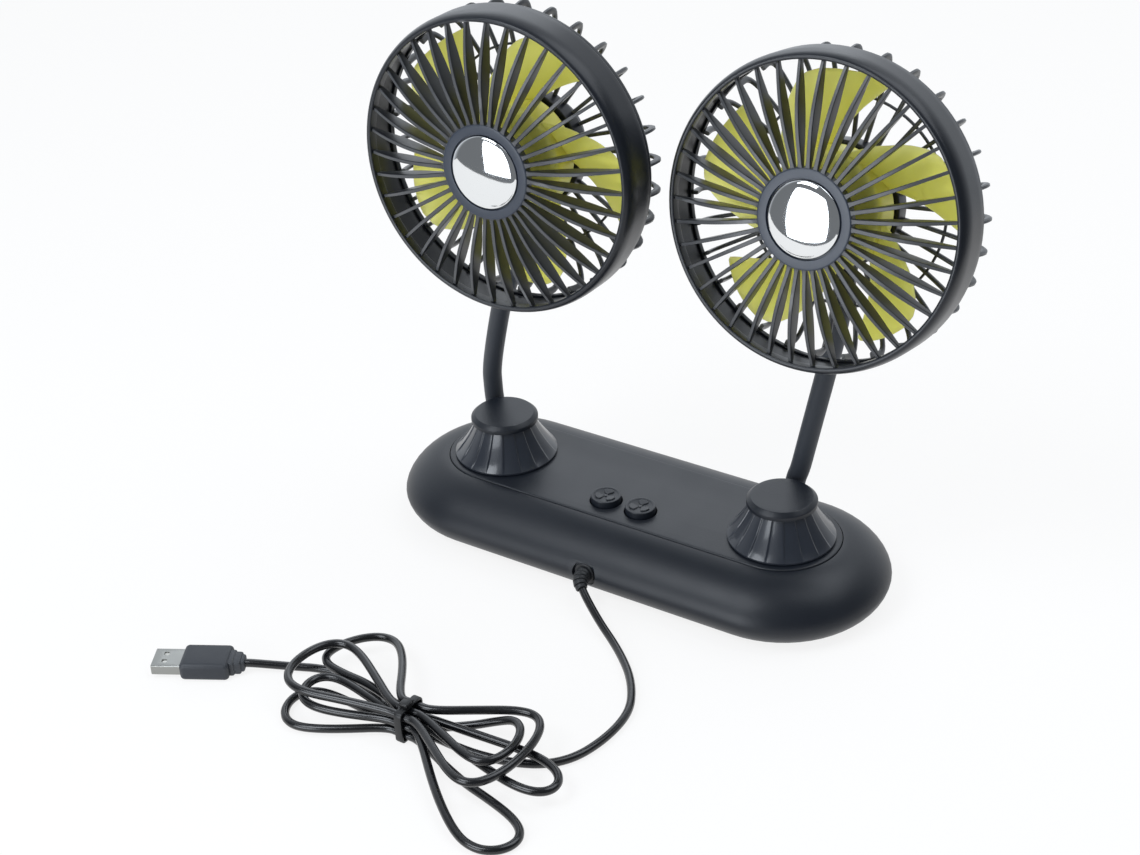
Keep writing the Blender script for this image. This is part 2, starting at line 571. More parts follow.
def finish(context, kind):
    """The material of one of the fan's finishes."""
    tones = context.scene.fan_colours
    makers = {
        # Housing: ABS from a spark-eroded mould, so it is matt with a fine even grain (0.2 mm, drawn at 0.7)
        "housing": lambda: coated("ABS spark eroded", tones.shell, 0.40, (0.0007, 0.00004), 0.02, 0.04, 0.12,
                                  **{"Specular IOR Level": 0.42}),
        # Grilles: ABS from a finely blasted mould, which gives a soft sheen along each fin's front
        "grille": lambda: coated("ABS satin moulded", tones.grille, 0.31, (0.0006, 0.00002), 0.03, 0.05, 0.36,
                                 **{"Specular IOR Level": 0.40}),
        # Hub disc: the same ABS, paler because its coarser texture scatters the light
        "disc": lambda: coated("ABS fine texture", tones.disc, 0.34, (0.0006, 0.00003), 0.02, 0.04, 0.15),
        # Skirts: ABS from a polished mould, which mirrors lamps in each petal with a slight waviness
        "skirt": lambda: coated("ABS high gloss", tones.skirt, 0.33, (0.0040, 0.00004), 0.04, 0.05, 0.10,
                                **{"Coat Weight": 0.5, "Coat Roughness": 0.12}),
        # Neck sleeves: moulded soft TPE, nearly without gloss and a little dusty at grazing angles
        "sleeve": lambda: coated("TPE soft touch", tones.sleeve, 0.58, (0.0009, 0.00004),
                                 **{"Sheen Weight": 0.15, "Sheen Roughness": 0.5}),
        # Rotors: moulded polypropylene, waxy, letting a little light into its skin
        "rotor": lambda: coated("Polypropylene moulded", tones.rotor, 0.38, (0.0012, 0.00002), 0.05, 0.05,
                                **{"Subsurface Weight": 0.45, "Subsurface Scale": 0.003,
                                   "Subsurface Radius": (1.0, 1.0, 0.6)}),
        # Domes: ABS plated with bright chromium, a clean mirror with very faint ripple
        "chrome": lambda: coated("Chromium plated", linear("e9ebec"), 0.05, (0.006, 0.00001), 0.02, 0.01,
                                 metal=1.0),
        # Plug's shell: tin plated brass, brighter on its rims and faintly brushed
        "plated": lambda: coated("Tin plated", linear("9c9d9a"), 0.36, (0.0009, 0.00001), 0.03, 0.03,
                                 metal=1.0),
        # Screws, washers and motors: zinc plated steel, grey and half matt
        "steel": lambda: coated("Zinc plated steel", linear("b4b6b8"), 0.32, (0.0012, 0.00002), 0.08, 0.08,
                                metal=1.0),
        # Contacts: gold plated, warm and bright
        "gold": lambda: coated("Gold plated", linear("e2bd6a"), 0.22, (0.001, 0.00001), metal=1.0),
        # Strain relief: soft PVC moulded on the cord, with a low sheen along its ribs
        "relief": lambda: coated("PVC moulded", linear("1b1d20"), 0.42, (0.0010, 0.00003)),
        # Pad: moulded EPDM, dead matt with a dusty bloom
        "rubber": lambda: coated("EPDM moulded", linear("242527"), 0.80, (0.0012, 0.00008)),
        # Board: glass epoxy under green solder resist
        "board": lambda: coated("FR4 solder resist", linear("1f5a38"), 0.35, (0.0015, 0.00002)),
        # Cord: extruded PVC, glossy, with faint ripples from the die
        "cord": lambda: coated("PVC extruded", tones.cord, 0.24, (0.0016, 0.00003), 0.05, 0.10,
                               **{"Coat Weight": 0.2, "Coat Roughness": 0.12}),
        # Tie: moulded nylon, a little shiny
        "nylon": lambda: coated("Nylon moulded", tones.cord, 0.42, (0.001, 0.00002)),
        # Plug: TPE overmould from a fine eroded mould, matt
        "plug": lambda: coated("TPE overmoulded", tones.plug, 0.52, (0.0007, 0.00004), wear=0.25),
        # Plug's tongue: moulded nylon insulator
        "tongue": lambda: coated("Nylon white", linear("e6e5df"), 0.45, (0.001, 0.00001), shade=0.02),
    }
    return makers[kind]()


# Camera and cord

class FAN_OT_camera(Operator):
    """Sets the camera where the photograph was taken from"""
    bl_idname = "fan.camera"
    bl_label = "Camera"

    def execute(self, context):
        data = bpy.data.cameras.new("camera")
        data.sensor_width = 36.0
        data.lens = context.scene.fan_studio.lens
        camera = linked("camera", data)
        back = CAMERA_BACK.normalized()
        right = CAMERA_UP.cross(back).normalized()
        axes = Matrix((right, back.cross(right), back)).transposed().to_4x4()
        camera.matrix_world = Matrix.Translation(CAMERA_PLACE) @ axes
        context.scene.camera = camera
        return {"FINISHED"}


def ease(share):
    """A soft start and end for a share from 0 to 1."""
    share = min(max(share, 0.0), 1.0)
    return share * share * (3 - 2 * share)


def rounded(points, rounds=4):
    """Corner cutting, which leaves the ends in place and keeps every bend smooth."""
    for _ in range(rounds):
        out = [points[0]]
        for first, second in zip(points, points[1:]):
            out += [first.lerp(second, 0.25), first.lerp(second, 0.75)]
        points = out + [points[-1]]
    return points


def even_points(points, spacing):
    """The line read again at even steps."""
    places = numpy.array([tuple(point) for point in points])
    lengths = numpy.concatenate([[0], numpy.cumsum(numpy.linalg.norm(numpy.diff(places, axis=0), axis=1))])
    reads = numpy.linspace(0, lengths[-1], max(int(round(lengths[-1] / spacing)), 1) + 1)
    return [Vector(place) for place in zip(*(numpy.interp(reads, lengths, row) for row in places.T))]


def strand_height(cord, layer, tied=True):
    """Height of a layer of cord: on the floor, or on the tie's strap."""
    strap = cord.tie_wall + TIE_GAP if tied else 0.0
    return cord.diameter / 2 + FLOOR_GAP + layer * cord.pitch + strap


def lobe_points(cord, number, side):
    """One lobe of the hank, out from its strand and back into the next."""
    turn, reach, width, layer = LOBES[number]
    (column, low), (next_column, next_low) = SLOTS[number], SLOTS[number + 1]
    y, next_y = column * cord.pitch, next_column * cord.pitch
    z, next_z = strand_height(cord, low), strand_height(cord, next_low)
    out = Vector((math.cos(math.radians(turn)), math.sin(math.radians(turn)), 0))
    across = Vector((-out.y, out.x, 0))
    first = 1 if y > next_y or (y == next_y and column <= 0) else -1
    first *= 1 if side > 0 else -1
    level = strand_height(cord, layer, layer > 0)
    points, stations, climb = [], 12, 0.3
    for index in range(1, stations):
        share = index / stations
        angle = math.pi * share
        place = out * reach * math.sin(angle) ** 0.6 + across * first * width / 2 * math.sin(2 * angle)
        drift = (y + (next_y - y) * share) * math.cos(angle) ** 2
        height = z + (level - z) * ease(share / climb)
        height += (next_z - height) * ease((share - 1 + climb) / climb)
        points.append(Vector((place.x, place.y + drift, height)))
    return points


def cord_line(cord, start, end, direction):
    """The cord's middle line from the inlet, through the hank and on to the plug."""
    # A strand's stations through the tie, from one side to the other, and the bundle's two ends
    strand, first_end, last_end = [0.0078, 0.0015, -0.0015, -0.0078], [0.0105], [-0.0105]
    hank = []
    for number, (column, layer) in enumerate(SLOTS):
        side = 1 if number % 2 == 0 else -1
        reaches = first_end * (number == 0) + strand + last_end * (number == len(SLOTS) - 1)
        hank += [Vector((side * reach, column * cord.pitch, strand_height(cord, layer))) for reach in reaches]
        if number < len(LOBES):
            hank += lobe_points(cord, number, -side)
    hank = [TIE_CENTRE + point for point in rounded(hank)]
    near, far = cord.diameter + SEAT_GAP, SEAT_GAP
    lead = [start] + [Vector(place) for place in LEAD_ROUTE]
    lead += [hank[0] + Vector((reach, 0, 0)) for reach in (near, far)]
    tail = [hank[-1] - Vector((reach, 0, 0)) for reach in (far, near)]
    tail += [Vector(place) for place in TAIL_ROUTE] + [end - direction * cord.diameter, end]
    return rounded(lead) + hank + rounded(tail)


def make_tie(context, cord):
    """A flat nylon strap round the bundle, its lock and its cut end."""
    columns = [column for column, _ in SLOTS]
    room = cord.diameter / 2 + TIE_GAP
    half_width = (max(columns) - min(columns)) * cord.pitch / 2 + room
    low, high = strand_height(cord, 0) - room, strand_height(cord, 2) + room
    middle, half_height = (low + high) / 2, (high - low) / 2
    bend = 0.0015
    path = eased([(half_width, -half_height, bend), (half_width, half_height, bend),
                  (-half_width, half_height, bend), (-half_width, -half_height, bend)], True)
    half, wall = cord.tie_width / 2, cord.tie_wall
    strip = eased([(-half, 0.0, 0.0001), (half, 0.0, 0.0001), (half, wall, 0.0003), (-half, wall, 0.0003)],
                  True, 2)
    rings = []
    for index, (y, z) in enumerate(path):
        ahead, behind = path[(index + 1) % len(path)], path[index - 1]
        outward = Vector((0, ahead[1] - behind[1], behind[0] - ahead[0])).normalized()
        rings.append([TIE_CENTRE + Vector((across, y, middle + z)) + outward * out for across, out in strip])
    bm = bmesh.new()
    skin(bm, rings, loop=True)
    # The lock sits on top of the bundle, with the strap's toothed end through it
    lock = TIE_CENTRE + Vector((0, 0.0052 - half_width, middle + half_height + bend + wall / 2))
    block(bm, (0.0042, 0.0040, 0.0022), lock, 0.0008)
    block(bm, (0.0026, 0.0020, 0.0008), lock + Vector((0, 0.0030, -0.0003)), 0.0002)
    tooth_pitch, first_tooth = 0.0006, 0.0002 - half_width * 0.05
    for step in range(9):
        tooth = TIE_CENTRE + Vector((0, first_tooth - tooth_pitch * step, high + wall))
        block(bm, (0.0022, 0.00028, 0.0002), tooth, 0.00005, segments=1)
    return make_piece("cord_tie_strap", bm, finish(context, "nylon"), "base", "cord_sheath", "cord_tie")


def plug_overmould(cord, body_end):
    """The stepped neck and rounded grip, with the mouth that holds the shell."""
    neck = cord.neck_length
    # Steps of the neck: where each starts, its width and its height
    steps = ((0.0, 0.0064, 0.0052), (0.0013, 0.0084, 0.0062), (0.0040, 0.0100, 0.0068))
    bm = bmesh.new()
    block(bm, (cord.body_length, cord.body_width, cord.body_height), ((neck + body_end) / 2, 0, 0), 0.0020,
          PLUG_PLACE, 5)
    for start, width, height in steps:
        reach = neck + 0.0016 - start
        block(bm, (reach, width, height), (start + reach / 2, 0, 0), 0.0010, PLUG_PLACE)
    tool = bmesh.new()
    mouth = (cord.shell_seat + 0.002, cord.shell_width + SEAT_GAP * 2, cord.shell_height + SEAT_GAP * 2)
    block(tool, mouth, (body_end - cord.shell_seat - SEAT_GAP + mouth[0] / 2, 0, 0), 0.0002, PLUG_PLACE)
    return cut(plain_mesh(bm, "plug_grip"), tool)


def plug_tube(cord, start, end, wall, window_start):
    """The stamped shell, a flat tube with two square windows through it."""
    half, height = cord.shell_width / 2, cord.shell_height / 2
    rings = []
    for x, inset in ((start, 0.0), (end - 0.0002, 0.0), (end, 0.00012), (end, wall - 0.0001), (start, wall)):
        corners = [(sign_y * (half - inset), sign_z * (height - inset), 0.0005)
                   for sign_y, sign_z in ((1, 1), (-1, 1), (-1, -1), (1, -1))]
        rings.append([PLUG_PLACE @ Vector((x, y, z)) for y, z in eased(corners, True)])
    bm = bmesh.new()
    skin(bm, rings, loop=True)
    tool = bmesh.new()
    window = 0.0022
    for across in (-0.0025, 0.0025):
        block(tool, (window, window, 0.010), (window_start, across, 0), 0.0003, PLUG_PLACE, 2)
    return cut(plain_mesh(bm, "plug_sleeve"), tool)


def make_plug(context, cord):
    """The plug: overmould, stamped shell, tongue and contacts."""
    body_end = cord.neck_length + cord.body_length
    pieces = [make_piece("plug_grip", plug_overmould(cord, body_end), finish(context, "plug"), "base",
                         "plug_overmould", "plug_body")]
    start, end, wall = body_end - cord.shell_seat, body_end + cord.shell_length, 0.0004
    shell = plug_tube(cord, start, end, wall, body_end + 0.0070)
    pieces.append(make_piece("plug_sleeve", shell, finish(context, "plated"), "base", "cap_chrome",
                             "plug_shell", sharp=50))
    bm = bmesh.new()
    tongue_top, tongue_end, tongue = cord.shell_height / 2 - wall - SEAT_GAP, end - 0.0006, 0.0018
    block(bm, (tongue_end - start, 0.0106, tongue), ((start + tongue_end) / 2, 0, tongue_top - tongue / 2),
          0.0002, PLUG_PLACE)
    pieces.append(make_piece("plug_insulator", bm, finish(context, "tongue"), "base", "plug_insulator",
                             "plug_tongue"))
    bm = bmesh.new()
    for across in (-0.0035, -0.0011, 0.0011, 0.0035):
        block(bm, (0.0075, 0.0011, 0.0002), (tongue_end - 0.0045, across, tongue_top - tongue), 0.00004,
              PLUG_PLACE, 1)
    pieces.append(make_piece("plug_contacts", bm, finish(context, "gold"), "base", "steel"))
    return pieces


class FAN_OT_cord(Operator):
    """Lays the cord with its hank, its tie and its plug"""
    bl_idname = "fan.cord"
    bl_label = "Cord, tie and plug"

    def execute(self, context):
        cord = context.scene.fan_cord
        mouth = PLUG_PLACE @ Vector((0.0004, 0, 0))
        direction = PLUG_PLACE.to_3x3() @ Vector((1, 0, 0))
        line = even_points(cord_line(cord, CORD_START, mouth, direction), 0.0009)
        data = bpy.data.curves.new("cord", "CURVE")
        data.dimensions = "3D"
        data.bevel_depth = cord.diameter / 2
        data.bevel_resolution = 4
        data.use_fill_caps = True
        spline = data.splines.new("POLY")
        spline.points.add(len(line) - 1)
        for point, place in zip(spline.points, line):
            point.co = (*place, 1)
        spline.use_smooth = True
        data.materials.append(finish(context, "cord"))
        sheath = linked("cord", data)
        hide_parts("cord_lead", "cord_hank", "cord_tail")
        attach(sheath, "base")
        make_tie(context, cord)
        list(make_plug(context, cord))
        return {"FINISHED"}


# Base

def housing_line(base, top_steps=16, foot_steps=10, power=1.22):
    """The housing's outer side from the deck's edge down to its foot, as (distance, height)."""
    inner = base.deck_half_width + SEAT_GAP
    line = []
    for index in range(top_steps + 1):
        angle = math.pi / 2 * (1 - index / top_steps)
        line.append((inner + (base.half_width - inner) * math.cos(angle) ** power,
                     base.widest_height + (base.height - base.widest_height) * math.sin(angle) ** power))
    tuck, drop = base.half_width - base.foot_half_width, base.widest_height - base.foot_lift
    for index in range(1, foot_steps + 1):
        angle = math.pi / 2 * index / foot_steps
        line.append((base.half_width - tuck * (1 - math.cos(angle) ** power),
                     base.widest_height - drop * math.sin(angle) ** power))
    return line


class FAN_OT_housing(Operator):
    """Moulds the pillow housing with its cord inlet and the inset deck with its holes"""
    bl_idname = "fan.housing"
    bl_label = "Housing and deck"

    def execute(self, context):
        base = context.scene.fan_base
        outer = housing_line(base)
        seat = base.deck_top - base.deck_thickness - SEAT_GAP
        rim, plate_top = base.foot_half_width - base.foot_wall, base.plate_recess
        inner_edge = base.deck_half_width + SEAT_GAP
        inside = [(distance - base.wall, height) for distance, height in reversed(outer)
                  if plate_top + base.wall < height < seat - base.wall * 1.5]
        side = [(point.x, point.y) for point in rounded([Vector((*point, 0)) for point in outer], 2)]
        loop = [(*side[0], 0.0004)] + side[1:] + [(rim, base.foot_lift), (rim, plate_top)]
        ledge, under = inner_edge - base.ledge, seat - base.wall
        loop += inside + [(inner_edge - 0.0004, under), (ledge, under), (ledge, seat), (inner_edge, seat)]
        bm = bmesh.new()
        skin(bm, [long_ring(*point, base.spacing) for point in eased(loop, True)], loop=True)
        tool = bmesh.new()
        inlet = Matrix.Translation((0, -base.half_width, base.inlet_height))
        inlet @= Matrix.Rotation(math.pi / 2, 4, "X")
        ahead, behind = 0.004, -0.006
        turned(tool, [(0, ahead), (base.inlet_recess, ahead), (base.inlet_recess, -base.inlet_depth),
                      (base.inlet_hole, -base.inlet_depth), (base.inlet_hole, behind), (0, behind)], 48,
               place=inlet)
        shell = cut(plain_mesh(bm, "housing"), tool)
        make_piece("housing", shell, finish(context, "housing"), "base", "shell_plastic", "base_shell")
        half, top = base.deck_half_width, base.deck_top
        low = top - base.deck_thickness
        section = eased([(half - 0.002, low), (half, low, 0.0002), (half, top, 0.0006), (half - 0.002, top)])
        bm = bmesh.new()
        skin(bm, [long_ring(*point, base.spacing) for point in section])
        tool = bmesh.new()
        for side in (-1, 1):
            for x, y, radius in (
                    (side * base.button_along, -base.button_across, base.button_radius + base.button_gap),
                    (side * base.spacing / 2, 0, context.scene.fan_turret.stem_hole)):
                place = Matrix.Translation((x, y, 0))
                turned(tool, [(0, low - 0.002), (radius, low - 0.002), (radius, top - 0.0003),
                              (radius + 0.0005, top + 0.0002), (radius + 0.0005, top + 0.002),
                              (0, top + 0.002)], 64, place=place)
        deck = cut(plain_mesh(bm, "deck"), tool)
        make_piece("deck", deck, finish(context, "housing"), "base", "shell_plastic", "deck_plate")
        dress(finish(context, "housing"), "base_plate")
        dress(finish(context, "rubber"), "nonslip_pad")
        dress(finish(context, "board"), "control_board")
        return {"FINISHED"}


class FAN_OT_grommet(Operator):
    """Turns the ribbed strain relief where the cord leaves the housing, and bends it the cord's way"""
    bl_idname = "fan.grommet"
    bl_label = "Strain relief"

    def execute(self, context):
        base = context.scene.fan_base
        inner, seat = -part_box("cord_grommet")[1].y, base.half_width - base.inlet_depth + SEAT_GAP
        front = seat + 0.0008
        # The nub is an arc from the recess to its tip: its sideways direction, angle and radius
        aside = RELIEF_TIP - Vector((0, -front, base.inlet_height))
        outward, sideways = -aside.y, Vector((aside.x, 0, aside.z))
        angle = 2 * math.atan2(sideways.length, outward)
        bend, sideways = outward / math.sin(angle), sideways.normalized()
        reach = bend * angle
        # Flange inside the wall, throat in the hole, collar in the recess, then the nub's ribs
        flange, throat, collar, thick = 0.0042, 0.0033, 0.0047, 0.002
        radii = (0.0037, 0.0037, 0.0035, 0.0032, 0.0027)
        step = reach / len(radii)
        section = [(0, inner), (flange, inner, 0.0002), (flange, inner + thick), (throat, inner + thick),
                   (throat, seat), (collar, seat), (collar, front, 0.0003)]
        for number, radius in enumerate(radii):
            begin, end = front + step * number, front + step * (number + 1)
            section += [(radius - 0.0004, begin), (radius - 0.0004, begin + 0.0003),
                        (radius, begin + 0.0004, 0.0002), (radius - 0.0002, end, 0.0003)]
        tip = front + reach
        section += [(0.0019, tip), (0.0019, tip - 0.002), (0, tip - 0.002)]
        bm = bmesh.new()
        turned(bm, eased(section), 48)
        for vertex in bm.verts:
            x, y, along = vertex.co
            place = Vector((x, -along, y))
            if along > front:
                turn = (along - front) / bend
                lift = place.x * sideways.x + place.z * sideways.z
                flat = place - sideways * lift
                flat.y = -front - math.sin(turn) * (bend - lift)
                place = flat + sideways * (bend - math.cos(turn) * (bend - lift))
            vertex.co = place + Vector((0, 0, base.inlet_height))
        make_piece("strain_relief", bm, finish(context, "relief"), "base", "cord_sheath", "cord_grommet")
        return {"FINISHED"}


class FAN_OT_screws(Operator):
    """Sets the cross-head screws in the bottom plate"""
    bl_idname = "fan.screws"
    bl_label = "Bottom screws"

    def execute(self, context):
        names = [f"base_screw_{number}" for number in range(1, 5)]
        boxes = [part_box(name) for name in names]
        low, high = boxes[0]
        depth = high.z - low.z
        bm = bmesh.new()
        turned(bm, eased([(0, 0), (0.0021, 0, 0.0005), (0.0026, 0.0006, 0.0005), (0.0026, 0.0012, 0.0001),
                          (0.0013, 0.0012), (0.0013, depth - 0.0008), (0, depth)]), 24)
        tool = bmesh.new()
        for size in ((0.0030, 0.0006, 0.0014), (0.0006, 0.0030, 0.0014)):
            block(tool, size, (0, 0, 0), 0.00008, segments=1)
        source = linked("screw_source", cut(plain_mesh(bm, "screw"), tool))
        places = bpy.data.meshes.new("screw_places")
        places.from_pydata([((a.x + b.x) / 2, (a.y + b.y) / 2, a.z) for a, b in boxes], [], [])
        steel = finish(context, "steel")
        screws = grown(places, copies_at_points(), Piece=source, Material=steel)
        bpy.data.objects.remove(source)
        make_piece("bottom_screws", screws, steel, "base", "steel", *names)
        return {"FINISHED"}


def mark_blade(centre, turn, dish):
    """Outline of one blade of the fan mark, as points with the dished top's height."""
    lead = [(0.0009, -8), (0.0021, -22), (0.0034, -30), (0.0043, -25)]
    trail = [(0.0048, 0), (0.0047, 24), (0.0039, 44), (0.0026, 46), (0.0013, 34)]
    points = []
    for radius, angle in lead + trail:
        heading = math.radians(turn + angle)
        points.append(Vector((centre[0] + radius * math.cos(heading), centre[1] + radius * math.sin(heading),
                              centre[2] + dish * (radius / 0.005) ** 2)))
    return points


class FAN_OT_buttons(Operator):
    """Turns the two dished buttons and raises the fan mark on each"""
    bl_idname = "fan.buttons"
    bl_label = "Buttons"

    def execute(self, context):
        base = context.scene.fan_base
        radius, crown = base.button_radius, base.deck_top + base.button_rise
        floor = crown - base.button_dish
        flange = base.deck_top - base.deck_thickness - SEAT_GAP
        brim, thick, stem = radius + 0.0009, 0.0009, 0.002
        for side, sign in (("left", -1), ("right", 1)):
            place = Matrix.Translation((sign * base.button_along, -base.button_across, 0))
            dish = [(radius * 0.82 * index / 8, floor + (crown - 0.00008 - floor) * (index / 8) ** 2)
                    for index in range(9)]
            section = dish + [(radius * 0.84, crown, 0.0002), (radius, crown, 0.00035), (radius, flange),
                              (brim, flange), (brim, flange - thick), (stem, flange - thick),
                              (stem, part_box(f"button_{side}")[0].z), (0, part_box(f"button_{side}")[0].z)]
            bm = bmesh.new()
            turned(bm, eased(section), 64, place=place)
            centre = (sign * base.button_along, -base.button_across, floor)
            for number in range(3):
                outline = mark_blade(centre, 90 + 120 * number, base.button_dish)
                middle = sum(outline, Vector()) / len(outline)
                rings = []
                for lift, share in ((-0.0003, 1.0), (base.mark_relief * 0.6, 1.0), (base.mark_relief, 0.9)):
                    rings.append([middle + (point - middle) * share + Vector((0, 0, lift))
                                  for point in outline])
                skin(bm, rings + [[middle + Vector((0, 0, base.mark_relief))]])
            turned(bm, [(0, -0.0003), (0.0008, -0.0003), (0.0008, base.mark_relief * 0.8),
                        (0.0006, base.mark_relief), (0, base.mark_relief)], 20,
                   place=Matrix.Translation(centre))
            make_piece(f"{side}_button_cap", bm, finish(context, "housing"), f"{side}_button",
                       "shell_plastic", f"button_{side}", sharp=30)
        return {"FINISHED"}


# Turrets and necks

def turret_axis(side):
    """Where a turret's upright axis meets the table."""
    return Vector(((-1 if side == "left" else 1) * bpy.context.scene.fan_base.spacing / 2, 0, 0))


def socket_place(turret, side, deck_top):
    """Mouth of the neck's socket, its axis and its outward direction, from the turret's axis."""
    turn, lean = math.radians(SOCKET_TURNS[side]), math.radians(SOCKET_LEAN)
    outward = Vector((math.cos(turn), math.sin(turn), 0))
    mouth = outward * (turret.top_radius + turret.socket_out)
    mouth.z = deck_top + turret.height - turret.socket_drop
    return mouth, outward * math.sin(lean) + Vector((0, 0, math.cos(lean))), outward


def skirt_levels(turret, foot, top):
    """The skirt from its stem to its top, as (radius, height, share of the petals' step)."""
    stem, end, band = turret.stem_radius, foot - turret.stem_reach, foot + turret.foot_band
    levels = [(0, end, 0), (stem, end, 0), (stem, foot, 0), (turret.foot_radius - 0.0002, foot, 0),
              (turret.foot_radius, foot + 0.0002, 0), (turret.foot_radius, band - 0.0001, 0)]
    for index in range(17):
        share = index / 16
        straight = turret.foot_radius + (turret.top_radius - turret.foot_radius) * share
        pull = turret.waist_pull * math.sin(math.pi * share)
        levels.append((straight - pull, band + (top - band) * share,
                       min(1.0, share * 7) * (1 - 0.25 * share)))
    return levels + [(0, top, 0)]


def skirt_rings(turret, axis, foot, top):
    """The petal skirt. Behind each petal's proud edge the side steps in, then swells out to the next edge."""
    # One petal, as shares of its width and of its step's depth
    samples = [(0.0, 0.0), (0.03, 0.15), (0.06, 0.70), (0.09, 0.97), (0.13, 1.0), (0.25, 0.92),
               (0.40, 0.78), (0.58, 0.55), (0.74, 0.32), (0.88, 0.12), (0.96, 0.01)]
    angles = [(2 * math.pi / turret.petals * (petal + share), drop)
              for petal in range(turret.petals) for share, drop in samples]
    rings = []
    for radius, height, depth in skirt_levels(turret, foot, top):
        ring = []
        for angle, drop in angles if radius > MERGE else [(0, 0)]:
            reach = radius - turret.petal_step * drop * depth
            ring.append(axis + Vector((reach * math.cos(angle), reach * math.sin(angle), height)))
        rings.append(ring)
    return rings


class FAN_OT_turrets(Operator):
    """Moulds the petal skirts with their neck sockets, and the flat caps"""
    bl_idname = "fan.turrets"
    bl_label = "Turrets"

    def execute(self, context):
        base, turret = context.scene.fan_base, context.scene.fan_turret
        foot, top = base.deck_top + SEAT_GAP, base.deck_top + turret.height
        for side in SIDES:
            axis = turret_axis(side)
            bm = bmesh.new()
            skin(bm, skirt_rings(turret, axis, foot, top))
            mouth, lean, _ = socket_place(turret, side, base.deck_top)
            place = Matrix.Translation(axis + mouth) @ lean.to_track_quat("Z", "Y").to_matrix().to_4x4()
            collar, buried, sleeve = turret.socket_radius, -turret.socket_length, turret.neck_radius + 0.0002
            turned(bm, eased([(0, buried), (collar, buried), (collar, 0, 0.0005), (sleeve, 0, 0.0002),
                              (sleeve, -0.003), (0, -0.003)]), 48, place=place)
            make_piece(f"{side}_skirt", bm, finish(context, "skirt"), f"{side}_turret", "skirt_plastic",
                       f"turret_{side}_skirt", sharp=32)
            low = top + SEAT_GAP
            high = low + turret.cap_thickness
            bm = bmesh.new()
            turned(bm, eased([(0, high), (turret.cap_flat, high, 0.0005),
                              (turret.cap_radius, high - turret.cap_drop, 0.0008),
                              (turret.cap_radius, low, 0.0003), (turret.cap_radius - 0.0012, low),
                              (turret.cap_radius - 0.0012, low + 0.0006), (0.011, low + 0.0006),
                              (0.011, low - 0.002), (0, low - 0.002)]), 96,
                   place=Matrix.Translation(axis))
            make_piece(f"{side}_turret_cap", bm, finish(context, "housing"), f"{side}_turret",
                       "shell_plastic", f"turret_{side}_cap", sharp=40)
            dress(finish(context, "steel"), f"turret_{side}_retainer")
        return {"FINISHED"}


def head_place(side):
    """A head's frame: from the middle of the ring's front, +Z forward and +Y up."""
    x, y, z, turn, tilt = HEAD_PLACES[side]
    return (Matrix.Translation((x, y, z)) @ Matrix.Rotation(math.radians(turn), 4, "Z")
            @ Matrix.Rotation(math.radians(90 - tilt), 4, "X"))


def boss_depth(head):
    """How far the neck's boss lies behind the ring's front."""
    return head.cage_depth + SEAT_GAP + head.boss_setback


def neck_line(context, side):
    """The neck's middle line from inside its socket into the head's boss, and its two bends."""
    turret, head = context.scene.fan_turret, context.scene.fan_head
    axis = turret_axis(side)
    mouth, lean, outward = socket_place(turret, side, context.scene.fan_base.deck_top)
    start = axis + mouth + lean * SEAT_GAP
    low, high = axis + Vector(LOWER_BENDS[side]), axis + Vector(UPPER_BENDS[side])
    rise = (axis + mouth).lerp(low, 0.4) + outward * 0.0022
    boss = Vector((0, -head.boss_reach - SEAT_GAP, -boss_depth(head)))
    end = head_place(side) @ boss
    before = head_place(side) @ (boss - Vector((0, 0.0172, 0)))
    knots = [start - lean * 0.0026, start + lean * turret.neck_radius, rise, low, high, before, end]
    return even_points(rounded(knots, 5), 0.001), low, high


class FAN_OT_necks(Operator):
    """Draws each neck's sleeves, which bend at the neck's two joints"""
    bl_idname = "fan.necks"
    bl_label = "Neck sleeves"

    def execute(self, context):
        turret = context.scene.fan_turret
        sleeve = finish(context, "sleeve")
        for side in SIDES:
            line, *bends = neck_line(context, side)
            cuts = [min(range(len(line)), key=lambda index: (line[index] - bend).length) for bend in bends]
            middle = sum(cuts) // 2
            halves = (("lower", line[:middle + 1], cuts[0], ("turret", "neck"), ("root", "lower")),
                      ("upper", line[middle:], cuts[1], ("neck", "head"), ("lower", "upper")))
            for part, points, at, bodies, nodes in halves:
                path = bpy.data.meshes.new("path")
                path.from_pydata(points, [(index, index + 1) for index in range(len(points) - 1)], [])
                mesh = grown(path, sleeve_along_path(), Radius=turret.neck_radius, Sides=36, Material=sleeve)
                bm = bmesh.new()
                bm.from_mesh(mesh)
                piece = make_piece(f"{side}_neck_sleeve_{part}", bm, sleeve, None, "sleeve_rubber",
                                   *(f"neck_{side}_{node}" for node in nodes), sharp=50)
                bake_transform(piece)
        return {"FINISHED"}


# Heads

def spun(context, bm, count, start, kind, place, name):
    """Copies of one piece round a head's axis, put in place."""
    finished = finish(context, kind)
    mesh = grown(plain_mesh(bm, name), copies_round_axis(), Count=count, Start=start, Material=finished)
    mesh.transform(place)
    return mesh, finished


def ring_section(head):
    """The front ring's closed section: a lip inside, a rounded brow and a thin skirt behind it."""
    inner, outer = head.ring_radius - head.ring_wall, head.ring_radius
    deep, lip, skirt = -head.ring_depth, -head.ring_lip, outer - head.ring_skirt
    crown = inner + 0.0010
    brow = [(crown + (outer - crown) * math.sin(turn), -head.ring_brow * (1 - math.cos(turn)))
            for turn in (math.pi / 2 * step / 12 for step in range(13))]
    return eased([(inner, lip, 0.0006), (inner, -0.0003, 0.0004)] + brow
                 + [(outer, deep, 0.0005), (skirt, deep, 0.0004), (skirt, lip, 0.0006)], True)


